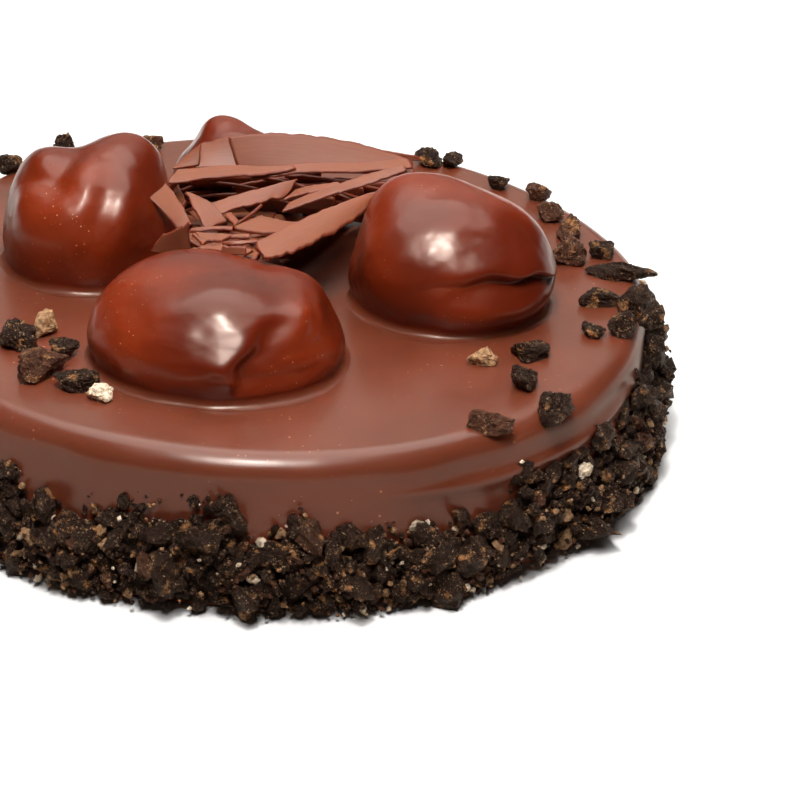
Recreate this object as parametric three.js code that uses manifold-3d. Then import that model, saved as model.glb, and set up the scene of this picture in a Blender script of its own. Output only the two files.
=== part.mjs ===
// Round chocolate-glazed profiterole cake. Four glazed cream puffs sit in a cross on its top,
// a heap of chocolate shavings lies between them, and cocoa-biscuit crumbs coat its lower side
// and lie in clusters near its rim.
// Millimetres, +Z up. The origin is the middle of the flat underside, and the front is -Y.
import * as THREE from 'three';
import { mergeVertices } from 'three/addons/utils/BufferGeometryUtils.js';
import Module from 'manifold-3d';

const wasm = await Module();
wasm.setup();

// Driving dimensions of the glazed cake: 200 mm across its coat and 40 mm high, a little narrower
// at its top, with a rounded glaze edge.
const CAKE_RADIUS = 100;
const TOP_RADIUS = 97.2;
const CAKE_HEIGHT = 40;
const RIM_ROUND = 6;
const FOOT_INSET = 3;
const CAKE_SEGMENTS = 60;
const RIM_STEPS = 4;
const GLAZE_WAVE = 0.5;

// The crumb coat: how high it reaches, how far its packed bed stands out, and its largest crumbs.
const COAT_TOP = 25;
const COAT_BED = 1;
const COAT_CRUMBS = 124;
const COAT_CRUMB_SIZE = [3.2, 5.2];
const COAT_CRUMB_SINK = 0.35;
const COAT_CLIMB = 7;
const RIGHT_CLIMB = { height: 9, spread: 14 };
const COAT_BULGE = { from: 0.2, to: 0.7, end: 0.8 };
const COAT_JITTER = 0.4;
const COAT_STEP = 0.618;

// The shape of a crumb: how far it is squeezed along its three axes, and how rough it is.
const CRUMB_SQUEEZE = [[0.9, 1.2], [0.75, 1], [0.65, 0.9]];
const CRUMB_ROUGHNESS = 0.18;

// Crumbs on the glaze: place and half length of each, in clusters between the puffs.
const TOP_CRUMBS = [
  [-60, -42, 4.2], [-53.5, -34, 3.4], [-54.5, -57, 5.6], [-48.5, -46, 3.4], [-44.5, -63, 4.3],
  [-38.5, -68, 3.0], [54, -43, 3.6], [64.5, -39, 4.6], [62, -55, 3.6], [54.2, -76, 4.0],
  [69.5, -66, 4.2], [81.3, -25.5, 2.6], [83.6, -8, 4.0], [88, -23, 3.5], [91.5, -12, 4.4],
  [85.3, 20, 3.4], [90, 8, 5.4], [76.8, 16, 4.0], [77.6, 31, 3.7], [73.5, 41.5, 3.1], [72, 54, 3.4],
  [61, 61, 2.9], [49, 74, 3.2], [43, 74, 3.4], [-32.5, 80, 3.2], [-55, 74, 2.7], [-69, 63, 3.0],
  [-64, 57, 2.8], [-79, 48, 3.7], [-73, 41, 2.8],
];
const TOP_CRUMB_SINK = 0.3;

// Cream puffs: where each sits, its half sizes, how high its middle is over the glaze, and its
// swellings. A swelling is an oval at an azimuth and elevation on the puff, turned by an angle,
// so many degrees along and across, and its size is a share of the puff's own (below 0, a dent).
const PUFF_SEGMENTS = 32;
const PUFF_RINGS = 18;
const PUFFS = [
  {
    name: 'profiterole_front', at: [-11, -45], half: [31.5, 27, 17], lift: 7,
    swellings: [
      { azimuth: 110, elevation: 58, turn: 0, along: 24, across: 24, size: 0.1 },
      { azimuth: 60, elevation: 56, turn: 0, along: 24, across: 24, size: -0.07 },
      { azimuth: 25, elevation: 45, turn: 0, along: 24, across: 24, size: 0.09 },
      { azimuth: 0, elevation: 25, turn: 0, along: 24, across: 24, size: -0.13 },
      { azimuth: 150, elevation: 42, turn: 0, along: 24, across: 24, size: 0.05 },
      { azimuth: -82, elevation: 63, turn: 0, along: 28, across: 20, size: 0.11 },
      { azimuth: -55, elevation: 20, turn: 68, along: 36, across: 18, size: -0.05 },
    ],
  },
  {
    name: 'profiterole_right', at: [46, -10], half: [26, 22.5, 21], lift: 10,
    swellings: [
      { azimuth: 180, elevation: 20, turn: 0, along: 24, across: 24, size: -0.05 },
      { azimuth: 150, elevation: 45, turn: 0, along: 24, across: 24, size: 0.11 },
      { azimuth: 120, elevation: 58, turn: 0, along: 24, across: 24, size: 0.12 },
      { azimuth: 60, elevation: 58, turn: 0, along: 24, across: 24, size: -0.04 },
      { azimuth: -138, elevation: 30, turn: 134, along: 40, across: 20, size: 0.07 },
      { azimuth: -172, elevation: 12, turn: 134, along: 40, across: 16, size: -0.05 },
      { azimuth: -60, elevation: 8, turn: 0, along: 36, across: 12, size: -0.07 },
      { azimuth: -62, elevation: -3, turn: 0, along: 30, across: 12, size: 0.05 },
    ],
  },
  {
    name: 'profiterole_left', at: [-45.5, 6.5], half: [22, 20.5, 21], lift: 10,
    swellings: [
      { azimuth: 195, elevation: 10, turn: 0, along: 24, across: 24, size: -0.12 },
      { azimuth: 140, elevation: 50, turn: 0, along: 24, across: 24, size: 0.15 },
      { azimuth: 105, elevation: 60, turn: 0, along: 24, across: 24, size: -0.13 },
      { azimuth: 65, elevation: 56, turn: 0, along: 24, across: 24, size: 0.16 },
      { azimuth: 35, elevation: 45, turn: 0, along: 24, across: 24, size: 0.21 },
      { azimuth: -145, elevation: 71, turn: -55, along: 28, across: 12, size: -0.12 },
      { azimuth: -135, elevation: 18, turn: 0, along: 36, across: 24, size: 0.07 },
      { azimuth: -94, elevation: 42, turn: 65, along: 28, across: 18, size: 0.06 },
      { azimuth: -59, elevation: 41, turn: 54, along: 36, across: 17, size: 0.08 },
    ],
  },
  {
    name: 'profiterole_back', at: [-8, 49], half: [17, 14, 14], lift: 6.5,
    swellings: [
      { azimuth: 160, elevation: 45, turn: 0, along: 24, across: 24, size: -0.12 },
      { azimuth: 130, elevation: 60, turn: 0, along: 24, across: 24, size: 0.26 },
      { azimuth: 80, elevation: 62, turn: 0, along: 24, across: 24, size: -0.06 },
      { azimuth: 40, elevation: 50, turn: 0, along: 24, across: 24, size: -0.1 },
    ],
  },
];

// Chocolate shavings: a mounded core and the flakes that show. A flake lies between four corners,
// bows along its length, cups across it, and its belly widens the middle of its two long edges.
const FLAKE_THICKNESS = 1.2;
const FLAKE_STEPS = { long: 5, wide: 2 };
const HEAP_CORE_STEPS = { round: 14, high: 8 };
const HEAP_CORE = [
  { at: [-9, -16], half: [15, 12, 22.5] },
  { at: [12.5, -15], half: [9, 9, 24.6] },
  { at: [-19, -2], half: [9, 8, 16.8] },
  { at: [-7, 3], half: [22, 13, 16.5] },
  { at: [-3, 21], half: [25, 12, 18] },
  { at: [4, 32], half: [28, 9, 17] },
];
const FLAKES = [
  { corners: [[-8, 33, 56], [38, 37, 53.5], [37, 42.4, 55.5], [-10.5, 38.9, 62]], bow: 0.4, belly: [0, 3.4] },
  { corners: [[-18.8, 33, 55.8], [-8, 33, 56.1], [-10.5, 39.5, 61.8], [-18, 40, 59.6]], bow: 0.4 },
  { corners: [[-25, 33, 55], [-18.3, 33, 56.3], [-17.5, 36, 61.5], [-22, 36, 57.2]], bow: 0.3 },
  { corners: [[-26, 19.5, 57.5], [7, 27.5, 58.5], [6, 29, 59], [-23.5, 27, 58]], bow: 0.3, belly: [1, 0] },
  { corners: [[-4.5, 25, 57], [37, 33.5, 57], [36, 38, 57.5], [-3, 28.5, 58]], bow: 0.4 },
  { corners: [[-32.5, 0, 64], [-22.5, -5, 56], [-19, -3, 56.5], [-26.5, 9.5, 62.5]], bow: 0.8 },
  { corners: [[-21.5, 17.5, 56], [-16, 6, 51], [-10, 10.5, 51], [-15.5, 16, 54.5]], bow: 0.5 },
  { corners: [[-13, 11.5, 52.5], [5, 20.5, 54], [7.5, 24.5, 57.5], [-14.5, 16.5, 53.5]], bow: 0.5 },
  { corners: [[-11, 9, 53.5], [-8, 0, 54.5], [-6.5, 1.5, 55], [-9, 9.5, 54]], bow: 0.2 },
  { corners: [[4, 18.5, 54], [17.5, 20, 57], [18.5, 22, 58], [7, 23, 55]], bow: 0.3 },
  { corners: [[3.5, 12.5, 53.5], [35, 20.5, 62], [34.5, 23, 63], [5.5, 16, 54.5]], bow: 0.4 },
  { corners: [[-1, -37, 63.5], [27.5, 2, 62.5], [29.5, 4.5, 64.5], [-3, -29, 64]], bow: 0.4, cup: 0.5,
    belly: [4.6, 1.4] },
  { corners: [[-8.5, -2.5, 55.5], [4.5, -8, 57], [8, -1, 57], [-1.5, 6.5, 55]], bow: -0.5 },
  { corners: [[-28.5, -14.5, 54], [-19, -16, 56], [-19.5, -17.5, 64], [-25.5, -16.5, 60]], bow: 0.8 },
  { corners: [[-16.5, -22, 61], [-11.5, -24.5, 62], [-8, -20.5, 62], [-17.5, -17.5, 61]] },
  { corners: [[-11, -27.5, 62], [-2, -27.5, 63.5], [-2.5, -25.5, 63.5], [-11, -27.5, 63.5]] },
];

// Clear gap between pieces that rest on each other.
const REST_GAP = 0.3;
const SEED = 20;
const BOX_REACH = 400;

const radians = THREE.MathUtils.degToRad;

// A repeatable stream of numbers from 0 to 1.
function seededRandom(seed) {
  let state = seed;
  return () => {
    state = (state + 0x6d2b79f5) | 0;
    let t = Math.imul(state ^ (state >>> 15), 1 | state);
    t = (t + Math.imul(t ^ (t >>> 7), 61 | t)) ^ t;
    return ((t ^ (t >>> 14)) >>> 0) / 4294967296;
  };
}
const random = seededRandom(SEED);
const between = (low, high) => low + (high - low) * random();

// A closed geometry as a solid that can be joined and cut.
function solidOf(geometry) {
  geometry.deleteAttribute('normal');
  geometry.deleteAttribute('uv');
  const merged = mergeVertices(geometry, 1e-4);
  const corners = merged.index.array;
  const kept = [];
  for (let i = 0; i < corners.length; i += 3) {
    const [a, b, c] = corners.slice(i, i + 3);
    if (a !== b && b !== c && c !== a) kept.push(a, b, c);
  }
  const vertProperties = new Float32Array(merged.attributes.position.array);
  const triVerts = new Uint32Array(kept);
  return new wasm.Manifold(new wasm.Mesh({ numProp: 3, vertProperties, triVerts }));
}

// A solid's surface as a named mesh. A loose scrap left by a cut is dropped.
function meshOf(name, solid, material) {
  const bodies = solid.decompose().sort((a, b) => b.volume() - a.volume());
  const { vertProperties, triVerts } = bodies[0].getMesh();
  const geometry = new THREE.BufferGeometry();
  geometry.setAttribute('position', new THREE.BufferAttribute(vertProperties, 3));
  geometry.setIndex(new THREE.BufferAttribute(triVerts, 1));
  geometry.computeVertexNormals();
  const mesh = new THREE.Mesh(geometry, material);
  mesh.name = name;
  return mesh;
}

// Everything above a level, as one block.
function above(level) {
  const block = new THREE.BoxGeometry(BOX_REACH, BOX_REACH, BOX_REACH);
  block.translate(0, 0, level + BOX_REACH / 2);
  return solidOf(block);
}

// Moves each corner of a geometry to where a function of that corner puts it.
function reshape(geometry, place) {
  const corners = geometry.attributes.position;
  const corner = new THREE.Vector3();
  for (let i = 0; i < corners.count; i += 1) {
    corner.fromBufferAttribute(corners, i);
    place(corner);
    corners.setXYZ(i, corner.x, corner.y, corner.z);
  }
  return geometry;
}

// The glazed cake: its section turned round the axis, with a slow wave in the poured glaze wall.
function cakeBody() {
  const section = new THREE.Path();
  section.moveTo(0, 0);
  section.lineTo(CAKE_RADIUS - FOOT_INSET, 0);
  section.lineTo(CAKE_RADIUS + COAT_BED, COAT_TOP * COAT_BULGE.from);
  section.lineTo(CAKE_RADIUS + COAT_BED, COAT_TOP * COAT_BULGE.to);
  section.lineTo(TOP_RADIUS, COAT_TOP);
  const rimCentre = [TOP_RADIUS - RIM_ROUND, CAKE_HEIGHT - RIM_ROUND];
  section.lineTo(TOP_RADIUS, rimCentre[1]);
  section.absarc(...rimCentre, RIM_ROUND, 0, Math.PI / 2, false);
  section.lineTo(0, CAKE_HEIGHT);
  const body = new THREE.LatheGeometry(section.getPoints(RIM_STEPS), CAKE_SEGMENTS);
  body.rotateX(Math.PI / 2);
  return solidOf(reshape(body, (p) => {
    const angle = Math.atan2(p.y, p.x);
    const reach = Math.hypot(p.x, p.y) / CAKE_RADIUS;
    const wave = 1 + (GLAZE_WAVE / CAKE_RADIUS) * reach * Math.sin(5 * angle + 2 * Math.sin(2 * angle));
    p.x *= wave;
    p.y *= wave;
  }));
}

// One crumb: a rough twenty-sided lump of a half size, squeezed, turned at random and placed.
function crumb(halfSize, place) {
  const lump = new THREE.IcosahedronGeometry(1, 0);
  const squeeze = new THREE.Vector3(...CRUMB_SQUEEZE.map((range) => between(...range)));
  const turn = new THREE.Euler(...squeeze.toArray().map(() => between(0, 2 * Math.PI)));
  reshape(lump, (p) => {
    const roughness = 1 + CRUMB_ROUGHNESS * Math.sin(17 * p.x + 29 * p.y + 41 * p.z + place.x);
    p.multiplyScalar(halfSize * roughness).multiply(squeeze).applyEuler(turn).add(place);
  });
  return solidOf(lump);
}

// Crumbs round the lower side, evenly spaced round the cake at seeded heights. Some climb higher.
function coatCrumbs() {
  const crumbs = [];
  for (let i = 0; i < COAT_CRUMBS; i += 1) {
    const angle = (2 * Math.PI * (i + between(-COAT_JITTER, COAT_JITTER))) / COAT_CRUMBS;
    const halfSize = between(...COAT_CRUMB_SIZE);
    const turn = THREE.MathUtils.euclideanModulo(angle + Math.PI, 2 * Math.PI) - Math.PI;
    const rightSide = RIGHT_CLIMB.height * Math.exp(-((turn / radians(RIGHT_CLIMB.spread)) ** 2));
    const climb = (i % 3 === 0 ? COAT_CLIMB : 0) + rightSide;
    const share = (i * COAT_STEP) % 1;
    const height = halfSize * 0.8 + share * (COAT_TOP - halfSize) + climb * share * random();
    const face = height < COAT_TOP * COAT_BULGE.end ? CAKE_RADIUS + COAT_BED : TOP_RADIUS;
    const out = face + halfSize * (0.5 - COAT_CRUMB_SINK);
    crumbs.push(crumb(halfSize, new THREE.Vector3(out * Math.cos(angle), out * Math.sin(angle), height)));
  }
  return crumbs;
}

// Crumbs lying on the glaze, each a little sunk in it. Those past the flat lie lower, on the rim.
function topCrumbs() {
  return TOP_CRUMBS.map(([x, y, halfSize]) => {
    const pastFlat = THREE.MathUtils.clamp(Math.hypot(x, y) - TOP_RADIUS + RIM_ROUND, 0, RIM_ROUND);
    const rimFall = RIM_ROUND - Math.sqrt(RIM_ROUND ** 2 - pastFlat ** 2);
    const height = CAKE_HEIGHT - rimFall + halfSize * (0.75 - TOP_CRUMB_SINK);
    return crumb(halfSize, new THREE.Vector3(x, y, height));
  });
}

// The swelling of a puff at a point of the unit sphere: an oval bell centred on its own direction.
function swellingAt(point, { azimuth, elevation, turn, along, across, size }) {
  const a = radians(azimuth);
  const e = radians(elevation);
  const out = new THREE.Vector3(Math.cos(e) * Math.cos(a), Math.cos(e) * Math.sin(a), Math.sin(e));
  const east = new THREE.Vector3(-Math.sin(a), Math.cos(a), 0);
  const lengthways = east.clone().applyAxisAngle(out, radians(turn));
  const sideways = new THREE.Vector3().crossVectors(out, lengthways);
  const u = Math.atan2(point.dot(lengthways), point.dot(out));
  const v = Math.asin(THREE.MathUtils.clamp(point.dot(sideways), -1, 1));
  return size * Math.exp(-((u / radians(along)) ** 2) - (v / radians(across)) ** 2);
}

// A cream puff: a sphere swollen, stretched to its half sizes and set on the glaze, cut flat below.
function puffSolid({ at, half, lift, swellings }, grow = 0) {
  const ball = new THREE.SphereGeometry(1, PUFF_SEGMENTS, PUFF_RINGS);
  ball.rotateX(Math.PI / 2);
  const stretch = new THREE.Vector3(...half).addScalar(grow);
  const middle = new THREE.Vector3(...at, CAKE_HEIGHT + lift);
  reshape(ball, (p) => {
    const swell = swellings.reduce((sum, swelling) => sum + swellingAt(p, swelling), 1);
    p.multiplyScalar(swell).multiply(stretch).add(middle);
  });
  return solidOf(ball).intersect(above(CAKE_HEIGHT + REST_GAP - grow));
}

// One flake of the heap: a thin bent strip between its corners, its two broad faces split alike.
function flake({ corners, bow = 0, cup = 0, belly = [0, 0] }) {
  const [nearStart, nearEnd, farEnd, farStart] = corners.map((corner) => new THREE.Vector3(...corner));
  const strip = new THREE.BoxGeometry(1, 1, 1, FLAKE_STEPS.long, FLAKE_STEPS.wide, 1);
  const ahead = nearEnd.clone().add(farEnd).sub(nearStart).sub(farStart).normalize();
  const sideways = farStart.clone().add(farEnd).sub(nearStart).sub(nearEnd).normalize();
  const outward = new THREE.Vector3().crossVectors(ahead, sideways).normalize();
  const near = new THREE.Vector3();
  const far = new THREE.Vector3();
  return solidOf(reshape(strip, (p) => {
    const along = p.x + 0.5;
    const across = p.y + 0.5;
    const middle = 1 - (2 * p.x) ** 2;
    const rise = bow * middle + cup * (1 - (2 * p.y) ** 2) + FLAKE_THICKNESS * p.z;
    const aside = middle * (belly[1] * across ** 2 - belly[0] * (1 - across) ** 2);
    near.lerpVectors(nearStart, nearEnd, along);
    far.lerpVectors(farStart, farEnd, along);
    p.lerpVectors(near, far, across).addScaledVector(sideways, aside).addScaledVector(outward, rise);
  }));
}

// The heap of shavings, cut clear of the puffs it leans on and of the glaze below.
function shavingsSolid() {
  const mounds = HEAP_CORE.map(({ at, half }) => {
    const mound = new THREE.SphereGeometry(1, HEAP_CORE_STEPS.round, HEAP_CORE_STEPS.high);
    mound.rotateX(Math.PI / 2);
    mound.scale(...half);
    mound.translate(...at, CAKE_HEIGHT);
    return solidOf(mound);
  });
  const heap = wasm.Manifold.union([...mounds, ...FLAKES.map(flake)]);
  const puffs = PUFFS.map((puff) => puffSolid(puff, REST_GAP));
  return heap.intersect(above(CAKE_HEIGHT + REST_GAP)).subtract(wasm.Manifold.union(puffs));
}

const glaze = new THREE.MeshStandardMaterial({ color: 0x6b3322, roughness: 0.22, metalness: 0 });
const puffGlaze = new THREE.MeshStandardMaterial({ color: 0x5e2415, roughness: 0.16, metalness: 0 });
const chocolate = new THREE.MeshStandardMaterial({ color: 0x83503e, roughness: 0.6, metalness: 0 });

const cake = new THREE.Group();
const body = wasm.Manifold.union([cakeBody(), ...coatCrumbs(), ...topCrumbs()]);
cake.add(meshOf('glazed_cake', body.intersect(above(0)), glaze));
for (const puff of PUFFS) cake.add(meshOf(puff.name, puffSolid(puff), puffGlaze));
cake.add(meshOf('chocolate_shavings', shavingsSolid(), chocolate));

export default cake;
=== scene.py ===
import math

import bpy
import numpy as np
from mathutils import Matrix


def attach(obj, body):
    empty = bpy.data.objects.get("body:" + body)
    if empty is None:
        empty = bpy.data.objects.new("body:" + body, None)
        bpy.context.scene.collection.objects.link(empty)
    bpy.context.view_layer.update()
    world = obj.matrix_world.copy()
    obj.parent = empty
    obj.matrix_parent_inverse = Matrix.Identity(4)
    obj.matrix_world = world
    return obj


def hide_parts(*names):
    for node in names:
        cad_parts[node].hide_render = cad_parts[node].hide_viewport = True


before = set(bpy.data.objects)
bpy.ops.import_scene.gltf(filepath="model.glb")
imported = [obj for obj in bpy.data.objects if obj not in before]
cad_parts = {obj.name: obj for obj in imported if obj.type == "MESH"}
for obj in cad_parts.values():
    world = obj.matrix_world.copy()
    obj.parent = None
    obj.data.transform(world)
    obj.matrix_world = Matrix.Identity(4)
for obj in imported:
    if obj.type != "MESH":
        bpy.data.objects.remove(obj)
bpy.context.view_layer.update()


# The glaze coat is milk-chocolate glaze poured warm over a round mousse cake. It sets as one skin:
# flat on top, rounded at the rim, and running down the side in slow drips to the foot.

CAKE_RADIUS, GLAZE_TOP, GLAZE_FOOT = 0.0997, 0.0406, 0.0975
TOP_RADIUS, RIM_ROUND, BACK_ROUND = 0.0970, 0.006, 0.005
ROUND_WAVE, WALL_DRIP, TOP_SWELL, TOP_FALL = 0.0005, 0.0007, 0.00025, 0.0005
SAG_SIZE, SAG_HEIGHT, SAG_THICK = 0.0012, 0.0310, 0.0022
SAG_TURN, SAG_SPAN = np.radians([318, 26])
GLAZE_COLUMNS, FLAT_ROWS, BEND_ROWS, WALL_ROWS, FOOT_ROWS = 512, 92, 15, 34, 6
LATTICE = 32


def lattice_noise(points, seed):
    """Smooth noise from -1 to 1: a random number on each lattice corner, blended between the eight
    corners of the cell by the weight 3t^2 - 2t^3 along each axis."""
    corners = np.random.default_rng(seed).uniform(-1, 1, (LATTICE, LATTICE, LATTICE))
    cell = np.floor(points).astype(int)
    share = points - cell
    share = share * share * (3 - 2 * share)
    total = np.zeros(points.shape[:-1])
    for corner in np.ndindex(2, 2, 2):
        weight = np.where(corner, share, 1 - share).prod(-1)
        at = (cell + corner) % LATTICE
        total += weight * corners[at[..., 0], at[..., 1], at[..., 2]]
    return total


def placed(name, mesh, material):
    """A scene object that shows the mesh in one material."""
    mesh.materials.append(material)
    piece = bpy.data.objects.new(name, mesh)
    bpy.context.scene.collection.objects.link(piece)
    return piece


def closed_skin(name, rings, material, smooth=True, tints=None, grain_uv=None):
    """A mesh of closed bodies. Each body is a stack of rings of points from its upper end to its lower
    end: quads join each ring to the next, and a fan closes each end on the middle of its ring."""
    bodies, rows, columns, _ = rings.shape
    ends = [rings[:, :1].mean(2), rings[:, -1:].mean(2)]
    points = np.concatenate([rings.reshape(bodies, rows * columns, 3), *ends], 1)
    column = np.arange(columns)
    after = (column + 1) % columns
    row = np.arange(rows - 1)[:, None] * columns
    quads = np.stack(np.broadcast_arrays(row + column, row + columns + column,
                                         row + columns + after, row + after), -1).reshape(-1, 4)
    last = (rows - 1) * columns
    upper = np.stack([np.full(columns, rows * columns), column, after], -1)
    lower = np.stack([np.full(columns, rows * columns + 1), last + after, last + column], -1)
    start = (np.arange(bodies) * points.shape[1])[:, None, None]
    quads, fans = (start + quads).reshape(-1, 4), (start + np.concatenate([upper, lower])).reshape(-1, 3)
    mesh = bpy.data.meshes.new(name)
    mesh.vertices.add(points.shape[0] * points.shape[1])
    mesh.vertices.foreach_set("co", points.ravel())
    mesh.loops.add(quads.size + fans.size)
    mesh.loops.foreach_set("vertex_index", np.concatenate([quads.ravel(), fans.ravel()]))
    mesh.polygons.add(len(quads) + len(fans))
    sides = np.concatenate([np.full(len(quads), 4), np.full(len(fans), 3)])
    mesh.polygons.foreach_set("loop_start", np.concatenate([[0], np.cumsum(sides)[:-1]]))
    mesh.polygons.foreach_set("use_smooth", np.full(len(sides), smooth))
    mesh.update(calc_edges=True)
    if tints is not None:
        shades = np.broadcast_to(tints, rings.shape)
        shades = np.concatenate([shades.reshape(bodies, -1, 3), shades[:, 0, :1], shades[:, -1, :1]], 1)
        shades = np.concatenate([shades, np.ones((*shades.shape[:2], 1))], -1)
        mesh.color_attributes.new("tint", "FLOAT_COLOR", "POINT").data.foreach_set("color", shades.ravel())
    if grain_uv is not None:
        flat = np.concatenate([grain_uv.reshape(bodies, rows * columns, 2),
                               grain_uv[:, :1].mean(2), grain_uv[:, -1:].mean(2)], 1).reshape(-1, 2)
        corner = np.concatenate([quads.ravel(), fans.ravel()])
        mesh.uv_layers.new(name="grain").uv.foreach_set("vector", flat[corner].ravel())
    return placed(name, mesh, material)


def screen_colour(red, green, blue):
    """The light-linear colour of a screen colour given from 0 to 255, by the screen's 2.4-power curve."""
    share = np.array([red, green, blue]) / 255
    return (*np.where(share < 0.04045, share / 12.92, ((share + 0.055) / 1.055) ** 2.4), 1.0)


def link(tree, source, target):
    """Joins an output socket to an input socket of a node tree, or sets a plain value on the input."""
    if isinstance(source, bpy.types.NodeSocket):
        tree.links.new(source, target)
    else:
        target.default_value = source


def fill(tree, inputs, **sources):
    """Links or sets input sockets by name, with an underscore for each space in a name."""
    for name, source in sources.items():
        link(tree, source, inputs[name.replace("_", " ")])


def add(tree, kind, modes=(), **sources):
    """A new shader node of a kind, with its modes set first and then its inputs filled."""
    node = tree.nodes.new("ShaderNode" + kind)
    for mode, choice in dict(modes).items():
        setattr(node, mode, choice)
    fill(tree, node.inputs, **sources)
    return node


def span(tree, source, start, end, low=0.0, high=1.0, ease="LINEAR"):
    """A Map Range node's result: low where the source is at its start, high at its end, held beyond both."""
    return add(tree, "MapRange", {"interpolation_type": ease}, Value=source, From_Min=start, From_Max=end,
               To_Min=low, To_Max=high).outputs["Result"]


def blend(tree, share, first, second, way="MIX", kind="RGBA"):
    """A Mix node's result: the first colour, or number, turning to the second by the share."""
    return add(tree, "Mix", {"data_type": kind, "blend_type": way}, Factor=share, A=first,
               B=second).outputs["Result"]


def combine(tree, operation, first, second):
    """A Math node's result for two values."""
    node = add(tree, "Math", {"operation": operation})
    link(tree, first, node.inputs[0])
    link(tree, second, node.inputs[1])
    return node.outputs["Value"]


def new_group(name, inputs, outputs):
    """An empty node group with the named sockets: the group, what it is given and what it puts out."""
    group = bpy.data.node_groups.new(name, "ShaderNodeTree")
    for way, sockets in [("INPUT", inputs), ("OUTPUT", outputs)]:
        for socket, kind in sockets.items():
            group.interface.new_socket(socket, in_out=way, socket_type="NodeSocket" + kind)
    return group, group.nodes.new("NodeGroupInput").outputs, group.nodes.new("NodeGroupOutput").inputs


def new_material(name):
    """A plain material: itself, its node tree and the inputs of its shader."""
    material = bpy.data.materials.new(name)
    material.use_nodes = True
    return material, material.node_tree, material.node_tree.nodes["Principled BSDF"].inputs


def make_glaze_marks():
    """Node group: pale pin-head bubbles on a random few of the cells of a fine cell pattern, gathered in
    drifts, slow clouds of tone, and the low waves of a poured surface."""
    group, given, put = new_group("glaze_marks", {"Place": "Vector", "Bubble Scale": "Float"},
                                  {"Bubbles": "Float", "Clouds": "Float", "Waves": "Float"})
    cells = add(group, "TexVoronoi", Vector=given["Place"], Scale=given["Bubble Scale"]).outputs
    chance = add(group, "SeparateColor", Color=cells["Color"]).outputs["Red"]
    size = span(group, chance, 0.60, 1.0, 0.0, 0.2)
    spots = span(group, combine(group, "SUBTRACT", size, cells["Distance"]), -0.02, 0.02)
    clouds = add(group, "TexNoise", Vector=given["Place"], Scale=38, Detail=1.5).outputs["Fac"]
    drifts = span(group, clouds, 0.46, 0.60)
    waves = add(group, "TexNoise", Vector=given["Place"], Scale=130, Detail=2).outputs["Fac"]
    fill(group, put, Bubbles=combine(group, "MULTIPLY", spots, drifts), Clouds=clouds, Waves=waves)
    return group


glaze_marks = make_glaze_marks()


def glaze_material(name, deep, light, bubble, roughness, bubble_scale, depth, coat, sheen, pool=None):
    """Satin chocolate under a thin bright coat: two browns and two roughnesses mixed by slow clouds, pale
    bubbles, and a low wave in the skin. Light enters to the depth, and the sheen tints what it reflects. From
    the pool's upper height down to its lower one, the colour turns to the pool's own."""
    material, tree, shader = new_material(name)
    place = add(tree, "TexCoord").outputs["Object"]
    marks = add(tree, "Group", {"node_tree": glaze_marks}, Place=place, Bubble_Scale=bubble_scale).outputs
    tones = span(tree, marks["Clouds"], 0.28, 0.72, ease="SMOOTHSTEP")
    colour = blend(tree, marks["Bubbles"], blend(tree, tones, deep, light), bubble)
    if pool is not None:
        low, high, pool_colour = pool
        height = add(tree, "SeparateXYZ", Vector=place).outputs["Z"]
        colour = blend(tree, span(tree, height, low, high, ease="SMOOTHSTEP"), pool_colour, colour)
    waves = add(tree, "Bump", Strength=0.12, Distance=0.001, Height=marks["Waves"]).outputs["Normal"]
    pins = add(tree, "Bump", Strength=0.25, Distance=0.0002, Height=marks["Bubbles"], Normal=waves)
    fill(tree, shader, Base_Color=colour, Roughness=span(tree, tones, 0.0, 1.0, *roughness),
         Normal=pins.outputs["Normal"], IOR=1.5, Specular_Tint=sheen, Coat_Weight=coat, Coat_Roughness=0.12,
         Subsurface_Weight=0.6, Subsurface_Radius=(1.0, 0.2, 0.06), Subsurface_Scale=depth)
    return material


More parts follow.
